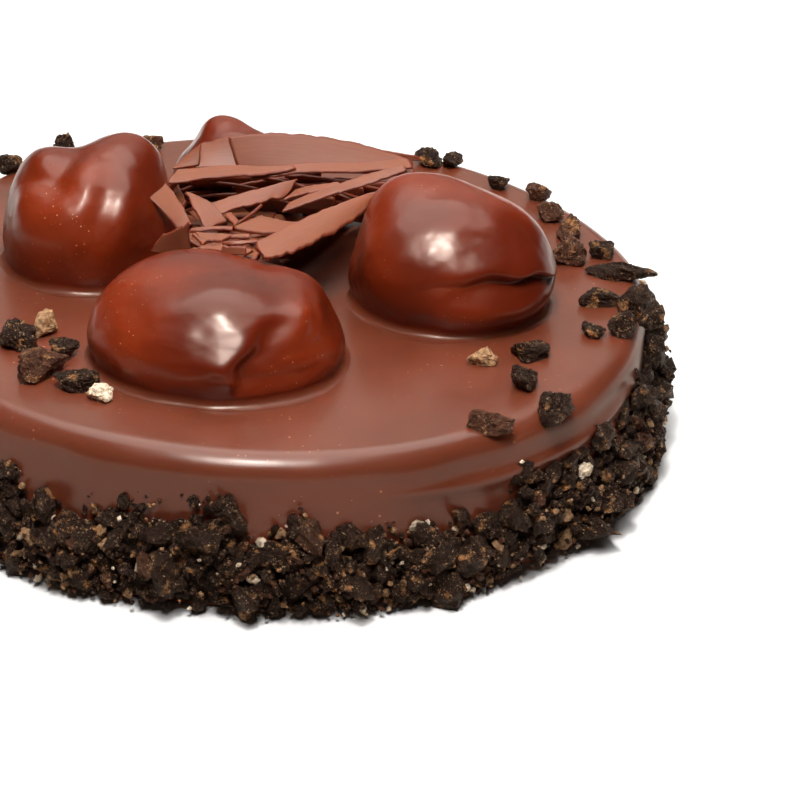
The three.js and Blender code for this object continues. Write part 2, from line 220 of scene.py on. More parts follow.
def glaze_rings():
    """The glaze's section turned round the axis: radius and height run from the top's middle along the
    flat, round a quarter circle at the rim, wider at the back, down the wall and under the foot. Slow noise
    raises the top, and noise stretched downwards swells the wall into drips, with one long sag at the
    right."""
    turn = np.linspace(0, 2 * np.pi, GLAZE_COLUMNS, endpoint=False)[None, :]
    rim = RIM_ROUND + BACK_ROUND * np.clip(np.sin(turn), 0, 1) ** 2
    flat = np.linspace(0, 1, FLAT_ROWS)[:, None]
    bend = np.radians(np.linspace(84, 0, BEND_ROWS))[:, None]
    drop = np.linspace(0, 1, WALL_ROWS)[:, None]
    foot = np.linspace(GLAZE_FOOT - 0.002, 0.002, FOOT_ROWS)[:, None]
    radius = np.concatenate([0.001 + flat * (TOP_RADIUS - rim - 0.001), TOP_RADIUS - rim + rim * np.cos(bend),
                             TOP_RADIUS + drop * (GLAZE_FOOT - TOP_RADIUS) + 0 * turn, foot + 0 * turn])
    height = np.concatenate([GLAZE_TOP + 0 * flat * turn, GLAZE_TOP - rim + rim * np.sin(bend),
                             (1 - drop) * (GLAZE_TOP - rim - 0.001) + 0.0015 * drop, 0 * foot * turn])
    round_x, round_y = np.cos(turn), np.sin(turn)
    reach = np.clip(radius / CAKE_RADIUS, 0, 1)
    wall = np.clip((GLAZE_TOP - 0.002 - height) / 0.006, 0, 1) * (height > 0)
    wave = ROUND_WAVE * reach * np.sin(5 * turn + 2 * np.sin(2 * turn))
    drip = lattice_noise(np.stack(np.broadcast_arrays(8 * round_x, 8 * round_y, 22 * height), -1), 3)
    sag_line = SAG_HEIGHT + 0.0025 * np.sin(3 * turn + 1.2)
    sag_span = np.exp(-((turn - SAG_TURN) / SAG_SPAN) ** 4)
    sag = SAG_SIZE * sag_span * np.exp(-((height - sag_line) / SAG_THICK) ** 2)
    out = radius + wave + wall * (WALL_DRIP * drip + sag)
    x, y = out * round_x, out * round_y
    slow = lattice_noise(np.stack([x / 0.03, y / 0.03, np.zeros_like(x)], -1), 5)
    z = height + TOP_SWELL * slow * (height > 0.03) - TOP_FALL * reach ** 6 * (height > 0.03)
    return np.stack([x, y, np.broadcast_to(z, x.shape)], -1)[None]


cake_glaze = glaze_material("milk_chocolate_glaze", deep=screen_colour(103, 49, 31),
                            light=screen_colour(115, 58, 39), bubble=screen_colour(180, 118, 86),
                            roughness=(0.285, 0.34), bubble_scale=600, depth=0.002, coat=0.1,
                            sheen=(1, 0.93, 0.87, 1))
glaze_coat = closed_skin("glaze_coat", glaze_rings(), cake_glaze)
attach(glaze_coat, "root")
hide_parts("glazed_cake")


# The profiteroles are baked choux puffs dipped in dark glaze and set on the cake while both were wet,
# so each stands in a small upward curve of glaze. Their crust is lumpy, with folds where it split.

# Millimetres and degrees. A swelling is (azimuth, elevation, turn, along, across, size), and a fold is
# (azimuth, elevation, turn, length, depth, sharpness, fade, bend, ease).
PROFITEROLES = {
    "front": dict(at=(-11, -45), half=(31.5, 27, 17), lift=7,
                  swells=[(110, 58, 0, 24, 24, .10), (60, 56, 0, 24, 24, -.07), (25, 45, 0, 24, 24, .09),
                          (0, 25, 0, 24, 24, -.13), (150, 42, 0, 24, 24, .05), (-82, 63, 0, 28, 20, .11),
                          (-21, 63, -150, 30, 14, -.05), (-15, 40, 0, 26, 20, .03),
                          (-36, 42, 45, 20, 8, .07)],
                  folds=[(-77, 20, -112, 36, .09, 1.6, 26, -8.5, -.6)]),
    "right": dict(at=(46, -10), half=(26, 22.5, 21), lift=10,
                  swells=[(180, 20, 0, 24, 24, -.05), (150, 45, 0, 24, 24, .11), (120, 58, 0, 24, 24, .12),
                          (60, 58, 0, 24, 24, -.04), (-138, 30, 134, 40, 20, .07),
                          (-172, 12, 134, 40, 16, -.05), (-40, 40, 0, 35, 25, -.03),
                          (-62, -6, 0, 40, 11, .10)],
                  folds=[(-60, 16, 176, 46, .13, 1.4, 5, -4, 1)]),
    "left": dict(at=(-45.5, 6.5), half=(22, 20.5, 21), lift=10,
                 swells=[(195, 10, 0, 24, 24, -.12), (140, 50, 0, 24, 24, .15), (105, 60, 0, 24, 24, -.13),
                         (65, 56, 0, 24, 24, .16), (35, 45, 0, 24, 24, .21), (-145, 71, -55, 28, 12, -.12),
                         (-150, 52, 14, 30, 9, -.07), (-135, 18, 0, 36, 24, .07), (-94, 42, 65, 28, 18, .06),
                         (-59, 41, 54, 36, 17, .10), (-74, 38, 67, 34, 10, -.08)],
                 folds=[]),
    "back": dict(at=(-8, 49), half=(17, 14, 14), lift=6.5,
                 swells=[(160, 45, 0, 24, 24, -.12), (130, 60, 0, 24, 24, .26), (80, 62, 0, 24, 24, -.06),
                         (40, 50, 0, 24, 24, -.10)],
                 folds=[]),
}
PUFF_COLUMNS, DOME_ROWS, SKIRT_ROWS = 320, 130, 16
PUFF_SEAT, PUFF_SUNK, SKIRT_RISE, SKIRT_REACH = 0.040, 0.002, 0.0034, 0.0044
POLE_GAP = 0.02
CRUST_NOISE = [(0.011, 4, 9, 7), (0.0038, 9, 5, 8), (0.0006, 19, 3, 9)]
FOLD_LIP, LIP_WIDE, FOLD_WAVER = 0.55, 15, 1.3


def sphere_points(rise, turn):
    """Points of the unit sphere by their angles above its equator and round its axis."""
    return np.stack(np.broadcast_arrays(np.cos(rise) * np.cos(turn), np.cos(rise) * np.sin(turn),
                                        np.sin(rise)), -1)


def local_angles(ball, azimuth, elevation, turn):
    """Angles in degrees along and across a line on the unit sphere, which passes through the given
    azimuth and elevation and is turned there from due east."""
    a, e, t = np.radians([azimuth, elevation, turn])
    out = np.array([math.cos(e) * math.cos(a), math.cos(e) * math.sin(a), math.sin(e)])
    east = np.array([-math.sin(a), math.cos(a), 0])
    ahead = math.cos(t) * east + math.sin(t) * np.cross(out, east)
    aside = np.cross(out, ahead)
    along = np.degrees(np.arctan2(ball @ ahead, ball @ out))
    across = np.degrees(np.arcsin(np.clip(ball @ aside, -1, 1)))
    return along, across


def puff_dome(ball, shape):
    """Points of a puff: the unit sphere times 1 plus its swellings and folds, stretched to its half sizes.
    A swelling is an oval bell. A fold is a step: a raised lip before its line, full depth just past it, and
    filling up again further on; its line bends and wavers, and it softens towards one of its ends."""
    swell = 1
    for size, fine, shift, seed in CRUST_NOISE:
        swell = swell + size * lattice_noise(fine * ball + shift, seed)
    for azimuth, elevation, turn, along, across, size in shape["swells"]:
        u, v = local_angles(ball, azimuth, elevation, turn)
        swell += size * np.exp(-(u / along) ** 2 - (v / across) ** 2)
    for azimuth, elevation, turn, length, depth, sharp, fade, bend, ease in shape["folds"]:
        u, v = local_angles(ball, azimuth, elevation, turn)
        v = v + bend * (u / length) ** 2 + FOLD_WAVER * np.sin(u / 5)
        soft = sharp * np.exp(ease * np.clip(u, -40, 40) / 24)
        past = 1 / (1 + np.exp(np.clip(-v / soft, -40, 40)))
        lip = FOLD_LIP * (1 - past) * np.exp(-(v / LIP_WIDE) ** 2)
        step = past * np.exp(-np.maximum(v, 0) / fade) - lip
        above_foot = np.clip((ball[..., 2] + 0.2) / 0.25, 0, 1)
        swell -= depth * step * np.exp(-(u / length) ** 4) * above_foot
    middle = np.array([*shape["at"], shape["lift"]]) / 1000 + [0, 0, PUFF_SEAT]
    return ball * swell[..., None] * np.array(shape["half"]) / 1000 + middle


def puff_rings(shape):
    """A puff's dome in rings from its top down to just above the glaze, then a skirt: each meridian is
    carried on as a quadratic curve from the dome's foot, down along the dome and out over the glaze."""
    low = math.asin((1000 * SKIRT_RISE - shape["lift"]) / shape["half"][2])
    rise = np.linspace(np.pi / 2 - POLE_GAP, low, DOME_ROWS)[:, None]
    rise = np.concatenate([rise, [[low - POLE_GAP]]])
    turn = np.linspace(0, 2 * np.pi, PUFF_COLUMNS, endpoint=False)[None, :]
    dome = puff_dome(sphere_points(rise, turn), shape)
    dome, beyond = dome[:-1], dome[-1:]
    foot = dome[-1:]
    slope = (beyond - foot) / (foot - beyond)[..., 2:]
    ground = GLAZE_TOP - 0.0001
    corner = foot + slope * (foot[..., 2:] - ground)
    outward = np.concatenate([np.cos(turn), np.sin(turn), np.zeros_like(turn)]).T[None]
    reach = SKIRT_REACH * (1 + 0.3 * np.sin(3 * turn + shape["lift"]) * np.sin(turn))[..., None]
    edge = corner + outward * reach - [0, 0, 0.0002]
    t = np.linspace(0, 1, SKIRT_ROWS + 1)[1:, None, None]
    skirt = (1 - t) ** 2 * foot + 2 * t * (1 - t) * corner + t ** 2 * edge
    under = edge * [1, 1, 0] + [0, 0, ground - PUFF_SUNK]
    return np.concatenate([dome, skirt, under])[None]


puff_glaze = glaze_material("profiterole_glaze", deep=screen_colour(90, 25, 8),
                            light=screen_colour(128, 42, 12), bubble=screen_colour(200, 130, 94),
                            roughness=(0.285, 0.37), bubble_scale=1000, depth=0.005, coat=0.07,
                            sheen=(1, 0.82, 0.70, 1),
                            pool=(GLAZE_TOP + 0.0006, GLAZE_TOP + SKIRT_RISE, screen_colour(106, 50, 32)))
for side, shape in PROFITEROLES.items():
    profiterole = closed_skin(f"profiterole_{side}_glazed", puff_rings(shape), puff_glaze)
    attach(profiterole, "root")
    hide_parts(f"profiterole_{side}")


# The crumb coat is crushed cocoa biscuit pressed by hand into the wet glaze round the lower side.
# Fine crumbs make a packed bed, and coarse broken lumps stand out of it and climb here and there.

DARK, BROWN, TAN, CREAM = (np.array(screen_colour(*tone)[:3]) for tone in
                           [(19, 8, 5), (60, 34, 23), (146, 113, 82), (205, 186, 162)])
COAT_FOOT, COAT_MEAN, COAT_CLIMB, COAT_LIMIT = 0.0012, 0.0225, 0.010, 0.036
BED_BULGE, BED_UNDER_EDGE, BED_COLUMNS, BED_ROWS = 0.0016, 0.003, 720, 30
CLUMP_OUT, SCATTER, FOOT_IN, CREST_IN, GAP_CROWD = 0.0016, 0.0006, 0.0022, 0.0026, -0.6
CLUMP_SIZE, GOLDEN_SHARE, CUT_PLANES = 0.009, 0.6180339, 9


def coat_edge(turn):
    """Height of the coat's upper edge round the cake: ragged, and climbing to the rim at the right."""
    circle = CAKE_RADIUS * np.stack([np.cos(turn), np.sin(turn), 0 * turn], -1)
    right = np.exp(-(np.angle(np.exp(1j * (turn + 0.02))) / 0.26) ** 2)
    ragged = 0.0060 * lattice_noise(circle / 0.011, 51) + 0.0036 * lattice_noise(circle / 0.0045, 52)
    return COAT_MEAN + ragged + COAT_CLIMB * right


def crumb_lumps(centres, halves, frames, random, columns, rows, rough, craggy):
    """Broken lumps: a unit ball cut by random planes, so its radius in a direction is the nearest plane's
    distance over the cosine to it, roughened by noise, twice finer where craggy, stretched to three half
    sizes, turned and placed."""
    count = len(centres)
    rise = np.linspace(np.pi / 2, -np.pi / 2, rows + 2)[1:-1, None]
    turn = np.linspace(0, 2 * np.pi, columns, endpoint=False)[None, :]
    ball = sphere_points(rise, turn)
    planes = random.normal(size=(count, CUT_PLANES, 3))
    planes /= np.linalg.norm(planes, axis=-1, keepdims=True)
    offsets = random.uniform(0.5, 0.95, (count, CUT_PLANES, 1, 1))
    facing = np.einsum("npk,rck->nprc", planes, ball)
    radius = np.minimum(np.where(facing > 0.05, offsets / np.maximum(facing, 0.05), 9).min(1), 1.2)
    place = ball[None] * 2.6 + random.uniform(0, 30, (count, 1, 1, 3))
    radius = radius * (1 + rough * lattice_noise(place, 11)) + rough * lattice_noise(2.1 * place, 12)
    if craggy:
        radius = radius + 0.5 * rough * lattice_noise(4.3 * place, 13)
        radius = radius + 0.3 * rough * lattice_noise(8 * place, 14)
    points = ball[None] * radius[..., None] * halves[:, None, None, :]
    return np.einsum("nij,nrcj->nrci", frames, points) + centres[:, None, None, :]


def tumbled(count, random):
    """Random turns, one per crumb: the orthogonal part of a random matrix, made right-handed."""
    frames = np.linalg.qr(random.normal(size=(count, 3, 3)))[0]
    frames[..., 0] *= np.sign(np.linalg.det(frames))[:, None]
    return frames


def crumb_tones(count, random, shares):
    """A colour for each crumb: dark cocoa for most, then brown, tan and cream by the given shares,
    each lightened or darkened a little."""
    pick = random.choice(4, count, p=shares)
    tones = np.array([DARK, BROWN, TAN, CREAM])[pick]
    return tones * random.uniform(0.7, 1.35, (count, 1))


def make_biscuit_grain():
    """Node group: the open grain of crushed biscuit, as a height, its pale specks, partly sugar and partly
    painted glints, which lie thicker in drifts, and its toasted patches."""
    group, given, put = new_group("biscuit_grain", {"Place": "Vector"},
                                  {"Grain": "Float", "Specks": "Float", "Patches": "Float"})
    place = given["Place"]
    grain = add(group, "TexNoise", Vector=place, Scale=800, Detail=5, Roughness=0.7).outputs["Fac"]
    baked = add(group, "TexNoise", Vector=place, Scale=330, Detail=4).outputs["Fac"]
    sugar = add(group, "TexNoise", Vector=place, Scale=2300, Detail=2).outputs["Fac"]
    drifts = span(group, baked, 0.42, 0.58, low=0.1)
    specks = combine(group, "MULTIPLY", span(group, sugar, 0.60, 0.69), drifts)
    fill(group, put, Grain=grain, Specks=specks, Patches=span(group, baked, 0.585, 0.70))
    return group


biscuit_grain = make_biscuit_grain()


def biscuit_material(name):
    """Crushed biscuit: each crumb's own colour with toasted patches, with painted shade in the grain's
    hollows and painted light on its crests, pale specks that are partly sugar and partly painted glints, and
    a deep open grain."""
    material, tree, shader = new_material(name)
    place = add(tree, "TexCoord").outputs["Object"]
    marks = add(tree, "Group", {"node_tree": biscuit_grain}, Place=place).outputs
    tint = add(tree, "Attribute", {"attribute_name": "tint"}).outputs["Color"]
    toasted = blend(tree, marks["Patches"], tint, screen_colour(148, 101, 60))
    # Painted shade and painted light: the colour drops to a tenth in the grain's hollows and doubles on its
    # crests, following the relief's height.
    grain_shade_and_light = span(tree, marks["Grain"], 0.30, 0.70, 0.1, 2.0)
    shaded = blend(tree, 1, toasted, grain_shade_and_light, way="MULTIPLY")
    # Pale specks: partly the sugar's own colour, partly painted glints.
    sugar_and_glint_specked = blend(tree, marks["Specks"], shaded, screen_colour(192, 156, 122))
    relief = add(tree, "Bump", Strength=1.0, Distance=0.0013, Height=marks["Grain"]).outputs["Normal"]
    fill(tree, shader, Base_Color=sugar_and_glint_specked, Normal=relief, Roughness=0.29, Specular_IOR_Level=0.45,
         Specular_Tint=(1, 0.66, 0.5, 1))
    return material


def clump(points):
    """How crowded the coat is at each point, from -1 in a gap to 1 on a clump: noise about 12 mm across."""
    return lattice_noise(points / CLUMP_SIZE, 54)


def crumb_bed_points():
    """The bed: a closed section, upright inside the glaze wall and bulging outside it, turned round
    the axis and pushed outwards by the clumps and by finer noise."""
    loop = np.linspace(0, 2 * np.pi, BED_ROWS, endpoint=False)[:, None]
    turn = np.linspace(0, 2 * np.pi, BED_COLUMNS, endpoint=False)[None, :]
    top = coat_edge(turn) - BED_UNDER_EDGE
    height = COAT_FOOT + (top - COAT_FOOT) * (0.5 + 0.5 * np.sin(loop))
    out = CAKE_RADIUS - 0.0012 + BED_BULGE * np.cos(loop) - 0.003 * np.clip(1 - height / 0.006, 0, 1)
    place = np.stack([out * np.cos(turn), out * np.sin(turn), height], -1)
    rough = (0.0011 * clump(place) + 0.0008 * lattice_noise(place / 0.002, 21)
             + 0.0005 * lattice_noise(place / 0.0009, 22))
    out = out + rough * np.maximum(np.cos(loop), 0)
    return np.stack([out * np.cos(turn), out * np.sin(turn), np.broadcast_to(height, out.shape)], -1)


def ring_skin(name, points, material, colour):
    """A closed ring: a grid of points that wraps both round its section and round the axis."""
    rows, columns, _ = points.shape
    row, column = np.meshgrid(np.arange(rows), np.arange(columns), indexing="ij")
    below, after = (row + 1) % rows, (column + 1) % columns
    quads = np.stack([row * columns + column, row * columns + after,
                      below * columns + after, below * columns + column], -1).reshape(-1, 4)
    mesh = bpy.data.meshes.new(name)
    mesh.from_pydata(points.reshape(-1, 3), [], quads)
    mesh.polygons.foreach_set("use_smooth", np.full(len(quads), True))
    tint = np.tile([*colour, 1.0], rows * columns)
    mesh.color_attributes.new("tint", "FLOAT_COLOR", "POINT").data.foreach_set("color", tint)
    mesh.update()
    return placed(name, mesh, material)


def coat_places(count, random, size_range, out_by, over):
    """Places in the coat: evenly stepped round the cake with jitter, at heights drawn up to the coat's edge
    and a little over it, further out on the clumps, nearer the wall at the foot and on it at the crest, and
    none in the gaps."""
    turn = 2 * np.pi * (np.arange(count) + random.uniform(-0.5, 0.5, count)) / count
    sizes = random.uniform(*size_range, count)
    share = (np.arange(count) * GOLDEN_SHARE + random.uniform(-0.06, 0.06, count)) % 1
    low = COAT_FOOT + 0.6 * sizes
    height = low + share * (np.minimum(coat_edge(turn) * over, COAT_LIMIT) - low)
    wall = np.stack([CAKE_RADIUS * np.cos(turn), CAKE_RADIUS * np.sin(turn), height], -1)
    crowd = clump(wall)
    foot = np.clip(1 - height / 0.007, 0, 1)
    crest = np.clip((height / coat_edge(turn) - 0.7) / 0.3, 0, 1)
    out = 1 + (out_by + CLUMP_OUT * crowd + random.uniform(-SCATTER, SCATTER, count)
               - FOOT_IN * foot - (out_by + CREST_IN) * crest) / CAKE_RADIUS
    kept = crowd > GAP_CROWD
    return (wall * np.stack([out, out, np.ones(count)], -1))[kept], sizes[kept]


biscuit = biscuit_material("cocoa_biscuit")
# The bed is coloured a fifth of the dark crumbs' colour: painted shade in the gaps between the lumps.
bed = ring_skin("crumb_bed", crumb_bed_points(), biscuit, 0.2 * DARK)
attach(bed, "root")
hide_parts("glazed_cake")

COAT_ROUGH, FLOOR_GAP = 0.2, 0.0003
dice = np.random.default_rng(41)
for kind, count, size_range, out_by, over, columns, rows, shares in [
    ("coat_lumps", 280, (0.0028, 0.0053), 0.0008, 1.08, 10, 6, (0.93, 0.07, 0.0, 0.0)),
    ("coat_crumbs", 1250, (0.0010, 0.0023), 0.0020, 1.08, 9, 6, (0.70, 0.16, 0.10, 0.04)),
    ("coat_grains", 2400, (0.0004, 0.0009), 0.0036, 1.14, 6, 3, (0.60, 0.20, 0.14, 0.06)),
]:
    centres, sizes = coat_places(count, dice, size_range, out_by, over)
    halves = sizes[:, None] * dice.uniform(0.6, 1.35, (len(sizes), 3))
    lumps = crumb_lumps(centres, halves, tumbled(len(sizes), dice), dice, columns, rows, COAT_ROUGH,
                        craggy=kind == "coat_lumps")
    lumps[..., 2] = np.maximum(lumps[..., 2], FLOOR_GAP)
    crumbs = closed_skin(kind, lumps, biscuit, smooth=False,
                         tints=crumb_tones(len(sizes), dice, shares)[:, None, None])
    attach(crumbs, "root")
    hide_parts("glazed_cake")


# The loose crumbs on top are larger broken lumps of the same biscuit, dropped in clusters between the
# profiteroles and along the rim, each sunk a little into the glaze.

# Millimetres and degrees: x, y, three half sizes, spin, tone.
TOP_CRUMBS = [
    (-60, -42, 4.0, 3.5, 4.0, 20, "dark"), (-53.5, -34, 3.2, 3.0, 3.0, 0, "tan"),
    (-54.5, -57, 6.6, 3.8, 4.6, 24, "brown"), (-48.5, -46, 3.2, 3.0, 3.0, 40, "dark"),
    (-44.5, -63, 4.6, 3.4, 3.4, -10, "dark"), (-38.5, -68, 3.0, 2.4, 2.0, 25, "cream"),
    (54, -43, 3.6, 3.0, 2.6, -15, "tan"), (64.5, -39, 5.3, 3.5, 2.8, 10, "dark"),
    (62, -55, 3.5, 2.8, 3.4, 60, "dark"), (54.2, -76, 4.4, 3.0, 3.0, 10, "brown"),
    (69.5, -66, 4.0, 3.6, 4.0, 45, "dark"), (81.3, -25.5, 2.5, 2.3, 1.7, 0, "dark"),
    (83.6, -8, 4.2, 3.4, 3.0, 5, "dark"), (88, -23, 3.4, 3.0, 3.2, 30, "dark"),
    (93, -12, 4.4, 3.8, 3.8, 70, "dark"), (96, -20, 3.2, 3.0, 3.4, 0, "dark"),
    (85.3, 20, 3.2, 3.0, 3.2, 20, "dark"), (91, 8, 7.2, 3.0, 2.8, -12, "dark"),
    (76.8, 16, 3.8, 3.5, 3.6, 0, "brown"), (77.6, 31, 3.6, 3.2, 3.0, 50, "brown"),
    (73.5, 41.5, 3.0, 2.6, 2.4, 10, "brown"), (72, 54, 3.2, 3.0, 3.0, 80, "brown"),
    (61, 61, 2.8, 2.5, 2.0, 0, "dark"), (49, 74, 3.2, 2.6, 2.2, 20, "dark"),
    (43, 74, 3.6, 2.6, 2.4, 160, "dark"), (-32.5, 80, 3.0, 2.8, 2.4, 0, "brown"),
    (-55, 74, 2.4, 2.2, 3.0, 30, "dark"), (-69, 63, 2.8, 2.6, 2.6, 10, "dark"),
    (-64, 57, 2.6, 2.4, 2.2, 60, "brown"), (-79, 48, 3.6, 3.2, 3.0, 0, "dark"),
    (-73, 41, 2.6, 2.4, 2.0, 35, "tan"),
]
# The top crumbs' colours are painted half again lighter than the coat's: painted light on their lit tops and
# glints.
TOP_STAND, TOP_STRETCH, TOP_ROUGH, TOP_PAINTED_LIGHT = 0.55, 1.1, 0.11, 1.5
tones = dict(dark=DARK, brown=BROWN, tan=TAN, cream=CREAM)
dice = np.random.default_rng(43)
facts = np.array([row[:6] for row in TOP_CRUMBS])
halves = facts[:, 2:5] / 1000
past_flat = np.hypot(facts[:, 0], facts[:, 1]) / 1000 - TOP_RADIUS + RIM_ROUND
past_flat = np.where(past_flat < RIM_ROUND, np.maximum(past_flat, 0), 0)
rim_fall = RIM_ROUND - np.sqrt(RIM_ROUND ** 2 - past_flat ** 2)
stand = GLAZE_TOP - rim_fall + TOP_STAND * halves[:, 2]
centres = np.stack([facts[:, 0] / 1000, facts[:, 1] / 1000, stand], -1)
spin = np.radians(facts[:, 5])
flat = np.zeros(len(facts))
frames = np.stack([np.stack([np.cos(spin), -np.sin(spin), flat], -1),
                   np.stack([np.sin(spin), np.cos(spin), flat], -1),
                   np.stack([flat, flat, flat + 1], -1)], 1)
lumps = crumb_lumps(centres, TOP_STRETCH * halves, frames, dice, 32, 22, TOP_ROUGH, craggy=True)
# The top crumbs' tints are raised by the painted-light factor.
top_crumbs = closed_skin("top_crumbs", lumps, biscuit, smooth=False,
                         tints=TOP_PAINTED_LIGHT * np.array([tones[row[6]] for row in TOP_CRUMBS])[:, None, None])
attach(top_crumbs, "root")
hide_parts("glazed_cake")


# The shavings are thin leaves planed off a block of milk chocolate and dropped in a loose heap between
# the profiteroles. They are matt, finely streaked by the blade, ragged at the ends and leaning on each other.

# Millimetres. A leaf's corners are two at its near edge and two at its far edge, and its rag is how ragged
# the near edge, the far edge and the ends are.
LEAVES = [
    dict(corners=((-8, 33, 56), (38, 37, 53.5), (37, 41.1, 56.2), (-10.5, 36.3, 63.4)),
         bow=.4, belly=(0, 3.4), rag=(.1, .25, .3)),
    dict(corners=((-2, 37.6, 59.8), (40, 42.3, 55.4), (38, 42.1, 57.3), (-2, 39.2, 63)),
         rag=(.2, .3, .4)),
    dict(corners=((-18.8, 33, 55.8), (-8, 33, 56.1), (-10.5, 37.8, 62.7), (-18, 39, 60.1)),
         bow=.15, rag=(.2, .3, .3)),
    dict(corners=((-25, 33, 55), (-18.3, 33, 56.3), (-17.5, 36, 61.5), (-22, 36, 57.2)),
         bow=.15, rag=(.2, .3, .3)),
    dict(corners=((-26, 19.5, 57.5), (7, 27.5, 58.5), (6, 29, 59), (-23.5, 27, 58)),
         bow=.3, wave=.3, belly=(1, 0), rag=(.4, .2, .4)),
    dict(corners=((-4.5, 25, 57), (37, 33.5, 57), (36, 38, 57.5), (-3, 28.5, 58)),
         bow=.4, wave=.4, rag=(.4, .2, .4)),
    dict(corners=((-32.5, 0, 64), (-22.5, -5, 56), (-19, -3, 56.5), (-26.5, 9.5, 62.5)),
         bow=.8, rag=(.2, .3, .4)),
    dict(corners=((-21.5, 17.5, 56), (-16, 6, 51), (-10, 10.5, 51), (-15.5, 16, 54.5)),
         bow=.5, rag=(.4, .3, .5)),
    dict(corners=((-13, 11.5, 52.5), (5, 20.5, 54), (7.5, 24.5, 57.5), (-14.5, 16.5, 53.5)),
         bow=.5, rag=(.5, .3, 1.6)),
    dict(corners=((-11, 9, 53.5), (-8, 0, 54.5), (-6.5, 1.5, 55), (-9, 9.5, 54)),
         bow=.2, rag=(.3, .3, .4)),
    dict(corners=((-8, .5, 54.5), (-2.5, 11, 55), (-1.5, 10, 56.5), (-7, .5, 56)),
         bow=.2, rag=(.2, .3, .4)),
    dict(corners=((4, 18.5, 54), (17.5, 20, 57), (18.5, 22, 58), (7, 23, 55)), bow=.3, rag=(.4, .4, .6)),
    dict(corners=((3.5, 12.5, 53.5), (35, 20.5, 62), (34.5, 23, 63), (5.5, 16, 54.5)),
         bow=.4, belly=(.6, .6), rag=(.5, .3, .5)),
    dict(corners=((-1, -37, 63.5), (27.5, 2, 62.5), (29.5, 4.5, 64.5), (-3, -29, 64)),
         bow=.4, cup=.5, belly=(4.6, 1.4), rag=(.9, .3, .8)),
    dict(corners=((3, -22, 58), (29, 14, 57), (31, 17, 58.5), (0, -17, 59)),
         belly=(2, 2), rag=(.4, .4, .4)),
    dict(corners=((0, -15.5, 53), (28.5, 22.5, 53), (30, 26, 53), (-1.5, -9, 53)),
         belly=(3, 1), rag=(.4, .4, .4)),
    dict(corners=((1, -5.5, 48), (28.5, 32, 48), (30, 35.5, 48), (-1, .5, 48)),
         belly=(3, 1), rag=(.4, .4, .4)),
    dict(corners=((2, 2, 44), (22, 31, 44), (24, 36, 44), (0, 9, 44)), belly=(2, 1), rag=(.4, .4, .4)),
    dict(corners=((-8.5, -2.5, 55.5), (4.5, -8, 57), (8, -1, 57), (-1.5, 6.5, 55)),
         bow=-.5, rag=(.3, .4, .4)),
    dict(corners=((-19, -4.5, 55), (-8.5, -4.5, 56), (-8.5, -3, 56), (-19, -2.5, 55)),
         bow=.3, rag=(.3, .3, .4)),
    dict(corners=((-28.5, -14.5, 54), (-19, -16, 56), (-19.5, -17.5, 64), (-25.5, -16.5, 60)),
         bow=.8, rag=(.3, .6, .4)),
    dict(corners=((-18.5, -18, 60.5), (-15.5, -26, 61.5), (-14.5, -23.5, 61.5), (-16.5, -17, 60.5)),
         rag=(.3, .3, .5)),
    dict(corners=((-16.5, -22, 61), (-11.5, -24.5, 62), (-8, -20.5, 62), (-17.5, -17.5, 61)),
         rag=(.4, .3, .5)),
    dict(corners=((-11, -27.5, 62), (-2, -27.5, 63.5), (-2.5, -25.5, 63.5), (-11, -27.5, 63.5)),
         rag=(.3, .3, .5)),
    dict(corners=((-8.5, -24, 63), (-4.5, -25, 63.5), (-4.5, -23, 63.5), (-8, -22.5, 63)),
         rag=(.3, .3, .5)),
    dict(corners=((-11, -29.5, 61), (-5, -31.5, 62), (-5, -31, 64), (-11, -29.5, 63.5)),
         rag=(.3, .3, .5)),
    dict(corners=((-16.5, -27.5, 61), (-11, -30, 62), (-11, -28, 62.5), (-15.5, -26, 61.5)),
         rag=(.3, .3, .5)),
]
LEAF_THICK, JAG_LONG, JAG_SHORT, TIP_WIDE, END_SHARE = 0.8, 2.4, 0.9, 1.8, 0.985


